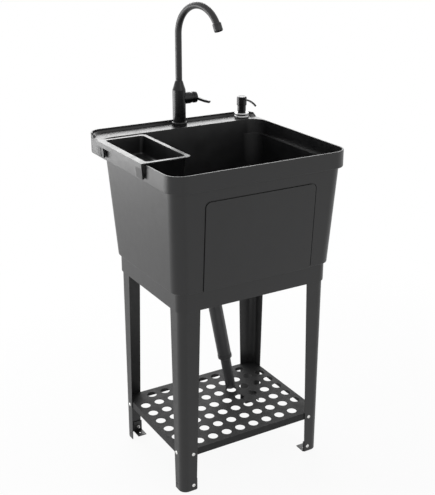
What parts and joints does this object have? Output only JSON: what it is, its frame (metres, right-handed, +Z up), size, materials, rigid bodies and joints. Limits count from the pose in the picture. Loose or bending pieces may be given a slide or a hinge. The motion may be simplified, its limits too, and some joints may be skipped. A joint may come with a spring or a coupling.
{
  "type": "utility laundry sink",
  "caption": "Freestanding black laundry tub on tapered steel legs with perforated shelf, gooseneck tap, side lever, soap pump, lift-off soap tray, basket strainer and slanted drain pipe.",
  "frame": {"origin": "on the floor, at the centre of the four floor anchor holes", "axes": "+Z up, +X to the right along the front, +Y from the front to the back, where the tap deck is"},
  "size_m": [0.51, 0.479, 1.1988],
  "materials": {
    "tub_plastic": "fine-grained moulded black polypropylene, semi-matte",
    "tray_plastic": "fine-grained moulded black polypropylene, semi-matte",
    "leg_steel": "black powder coat, satin",
    "screw_steel": "bright zinc-coated steel",
    "tap_black": "black coated brass, satin",
    "spout_coat": "dark grey satin coated tube",
    "pump_collar": "polished steel flange rings",
    "aerator_plastic": "grey moulded plastic",
    "seal_rubber": "black rubber",
    "brass_parts": "machined brass",
    "pump_black": "black plastic, satin to gloss",
    "nozzle_black": "black coated steel tube",
    "pump_inner": "natural white plastic",
    "bottle_plastic": "translucent polyethylene bottle",
    "spring_steel": "stainless spring wire",
    "drain_steel": "stainless steel",
    "pipe_plastic": "black polypropylene drain pipe"
  },
  "bodies": {
    "sink": {"tub": "tub_plastic", "tub_base": "tub_plastic", "tap_deck": "tub_plastic", "leg_front_left": "leg_steel", "leg_front_right": "leg_steel", "leg_back_left": "leg_steel", "leg_back_right": "leg_steel", "foot_bracket_front_left": "leg_steel", "foot_bracket_front_right": "leg_steel", "foot_bracket_back_left": "leg_steel", "foot_bracket_back_right": "leg_steel", "shelf": "leg_steel", "shelf_edge": "leg_steel", "shelf_screws": "screw_steel", "foot_screws": "screw_steel", "shelf_nuts": "screw_steel", "foot_nuts": "screw_steel", "tap_steel_washer": "screw_steel", "pump_flange": "pump_collar", "tap_base_ring": "tap_black", "tap_body": "tap_black", "cartridge_ring": "tap_black", "cartridge": "aerator_plastic", "tap_gasket": "seal_rubber", "tap_rubber_washer": "seal_rubber", "strainer_gasket": "seal_rubber", "tap_shank": "brass_parts", "tap_lock_nut": "brass_parts", "pump_guide": "pump_inner", "pump_barrel": "pump_inner", "pump_nut": "pump_inner", "dip_tube": "pump_inner", "strainer_washer": "pump_inner", "soap_bottle": "bottle_plastic", "pump_spring": "spring_steel", "strainer_body": "drain_steel", "strainer_lock_nut": "drain_steel", "coupling_nut": "pipe_plastic", "tailpiece": "pipe_plastic", "drain_elbow": "pipe_plastic", "slip_nut_upper": "pipe_plastic", "slip_nut_lower": "pipe_plastic", "drain_pipe_upper": "pipe_plastic", "drain_pipe_lower": "pipe_plastic", "drain_reducer": "pipe_plastic"},
    "spout": {"spout": "spout_coat", "spout_seals": "seal_rubber", "aerator_housing": "spout_coat", "aerator_screen": "aerator_plastic"},
    "lever_spindle": {"lever_spindle": "tap_black", "lever_pin": "brass_parts"},
    "lever_handle": {"lever_handle": "tap_black"},
    "pump_stem": {"pump_stem": "pump_inner", "pump_sleeve": "pump_black"},
    "pump_head": {"pump_head": "pump_black", "pump_nozzle": "nozzle_black"},
    "soap_tray": {"soap_tray": "tray_plastic"},
    "strainer_basket": {"strainer_basket": "drain_steel"}
  },
  "joints": [
    {"name": "spout_swivel", "type": "hinge", "parent": "sink", "child": "spout", "pos_m": [0.012, 0.246, 0.965], "axis": [0, 0, 1], "continuous": true},
    {"name": "lever_turn", "type": "hinge", "parent": "sink", "child": "lever_spindle", "pos_m": [0.053, 0.246, 0.937], "axis": [1, 0, 0], "range_deg": [-45, 45]},
    {"name": "lever_lift", "type": "hinge", "parent": "lever_spindle", "child": "lever_handle", "pos_m": [0.053, 0.246, 0.937], "axis": [0, 0, 1], "range_deg": [0, 20]},
    {"name": "pump_press", "type": "slide", "parent": "sink", "child": "pump_stem", "axis": [0, 0, -1], "range_m": [0, 0.012], "stiffness_N_per_m": 400, "springref_m": -0.01, "deforming": ["pump_spring"]},
    {"name": "nozzle_swivel", "type": "hinge", "parent": "pump_stem", "child": "pump_head", "pos_m": [0.208, 0.239, 0.912], "axis": [0, 0, 1], "continuous": true},
    {"name": "tray_lift", "type": "slide", "parent": "sink", "child": "soap_tray", "axis": [0, 0, 1], "range_m": [0, 0.12]},
    {"name": "basket_lift", "type": "slide", "parent": "sink", "child": "strainer_basket", "axis": [0, 0, 1], "range_m": [0, 0.08]}
  ]
}
